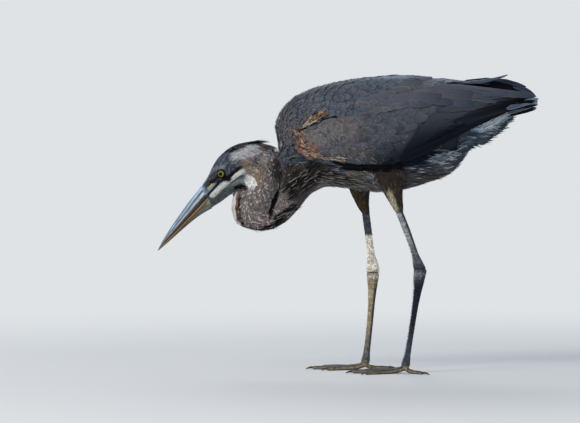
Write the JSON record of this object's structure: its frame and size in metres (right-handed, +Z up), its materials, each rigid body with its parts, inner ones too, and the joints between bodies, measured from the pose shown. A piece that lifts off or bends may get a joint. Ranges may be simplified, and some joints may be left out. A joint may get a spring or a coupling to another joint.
{
  "type": "great blue heron",
  "caption": "Life-size still great blue heron standing on both feet, leaning forward with its neck folded in an S and its long bill pointing forward and down.",
  "frame": {"origin": "on the floor, under the middle of the bird's box", "axes": "+X towards the tail, so the bill points to -X; +Y towards the bird's right side; +Z up"},
  "size_m": [0.6854, 0.1732, 0.535],
  "materials": {
    "slate_plumage": "blue-grey contour feathers",
    "flight_plumage": "dark slate flight and covert feathers",
    "neck_plumage": "grey-brown neck feathers with pale streaks",
    "crown_plumage": "dark crown feathers",
    "vent_plumage": "soft pale under-tail feathers",
    "thigh_plumage": "short buff-brown thigh feathers",
    "leg_skin": "scaly leg skin",
    "bill_horn_grey": "satin blue-grey horn",
    "bill_horn_yellow": "satin yellow horn",
    "claw_horn": "satin dark horn",
    "eye": "wet yellow iris"
  },
  "bodies": {
    "root": {"head": "slate_plumage", "bill_upper": "bill_horn_grey", "bill_lower": "bill_horn_yellow", "eye_left": "eye", "eye_right": "eye", "crest": "crown_plumage", "neck_upper": "neck_plumage", "neck_bend": "neck_plumage", "neck_lower": "neck_plumage", "trunk": "slate_plumage", "vent": "vent_plumage", "tail": "flight_plumage", "wing_left": "flight_plumage", "wing_right": "flight_plumage", "plume_left": "flight_plumage", "thigh_left": "thigh_plumage", "shank_left": "leg_skin", "tarsus_left": "leg_skin", "toe_left_inner": "leg_skin", "claw_left_inner": "claw_horn", "toe_left_middle": "leg_skin", "claw_left_middle": "claw_horn", "toe_left_outer": "leg_skin", "claw_left_outer": "claw_horn", "toe_left_hind": "leg_skin", "claw_left_hind": "claw_horn", "thigh_right": "thigh_plumage", "shank_right": "leg_skin", "tarsus_right": "leg_skin", "toe_right_inner": "leg_skin", "claw_right_inner": "claw_horn", "toe_right_middle": "leg_skin", "claw_right_middle": "claw_horn", "toe_right_outer": "leg_skin", "claw_right_outer": "claw_horn", "toe_right_hind": "leg_skin", "claw_right_hind": "claw_horn"}
  },
  "joints": []
}
